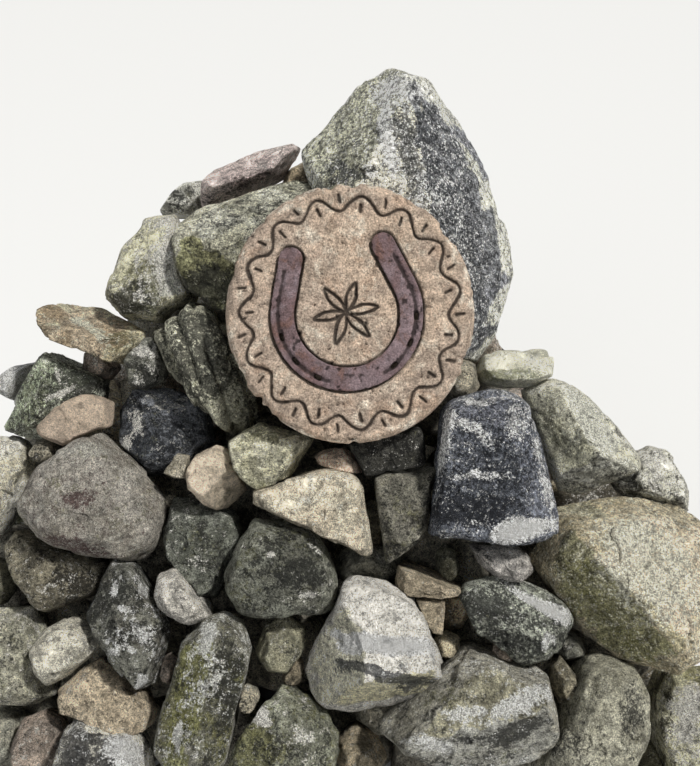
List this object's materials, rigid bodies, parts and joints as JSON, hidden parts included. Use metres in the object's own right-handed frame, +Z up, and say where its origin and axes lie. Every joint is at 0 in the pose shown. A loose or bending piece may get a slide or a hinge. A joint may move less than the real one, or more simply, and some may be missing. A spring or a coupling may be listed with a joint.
{
  "type": "dry-stone cairn with horseshoe plaque",
  "caption": "Heap of dry-laid field stones with a big upright stone at its head and a round stone plaque, set with a horseshoe, leaning on its front face.",
  "frame": {"origin": "on the ground, under the point where the heap's sloping sides would meet", "axes": "+Z up, +X to the right across the front, -Y towards a person who looks at the plaque"},
  "size_m": [1.0963, 0.8812, 0.6992],
  "materials": {
    "plaque_stone": "rough",
    "shoe_iron": "matte",
    "grey_grit": "rough",
    "olive_grit": "rough",
    "dark_grit": "rough",
    "blue_grit": "rough",
    "tan_grit": "rough",
    "cream_grit": "rough",
    "pink_grit": "rough",
    "pale_grit": "rough"
  },
  "bodies": {
    "root": {"plaque": "plaque_stone", "horseshoe": "shoe_iron", "top_boulder": "grey_grit", "long_slab": "pink_grit", "shoulder_stone": "olive_grit", "small_dark_back_stone": "dark_grit", "pointed_stone": "grey_grit", "ledge_stone": "cream_grit", "left_green_stone": "olive_grit", "far_left_pale_stone": "pale_grit", "pink_flake": "pink_grit", "left_edge_stone": "grey_grit", "round_boulder": "grey_grit", "dark_hollow_stone": "dark_grit", "lichen_cap_stone": "dark_grit", "ridged_stone": "dark_grit", "tan_wedge": "tan_grit", "tan_stone": "tan_grit", "sage_stone": "olive_grit", "brown_pinning": "tan_grit", "plaque_foot_stone": "dark_grit", "cream_triangle": "cream_grit", "grey_block": "grey_grit", "blue_block": "blue_grit", "grey_cobble": "grey_grit", "pale_flat_stone": "cream_grit", "right_wedge": "grey_grit", "right_back_stone": "grey_grit", "right_boulder": "tan_grit", "long_dark_stone": "dark_grit", "tan_blocks": "tan_grit", "pale_keystone": "pale_grit", "dark_round_stone": "dark_grit", "dark_green_stone": "olive_grit", "white_cobble": "pale_grit", "spotted_stone": "dark_grit", "left_brown_stone": "dark_grit", "pale_oblong": "cream_grit", "left_lichen_stone": "grey_grit", "brown_flat_stone": "tan_grit", "tall_mossy_stone": "olive_grit", "white_patched_stone": "pale_grit", "foot_green_stone": "olive_grit", "bottom_slab": "grey_grit", "oval_stone": "grey_grit", "bottom_right_stone": "grey_grit", "pinnings": "tan_grit", "ground_course": "grey_grit", "flank_stones": "grey_grit", "hearting": "dark_grit"}
  },
  "joints": []
}
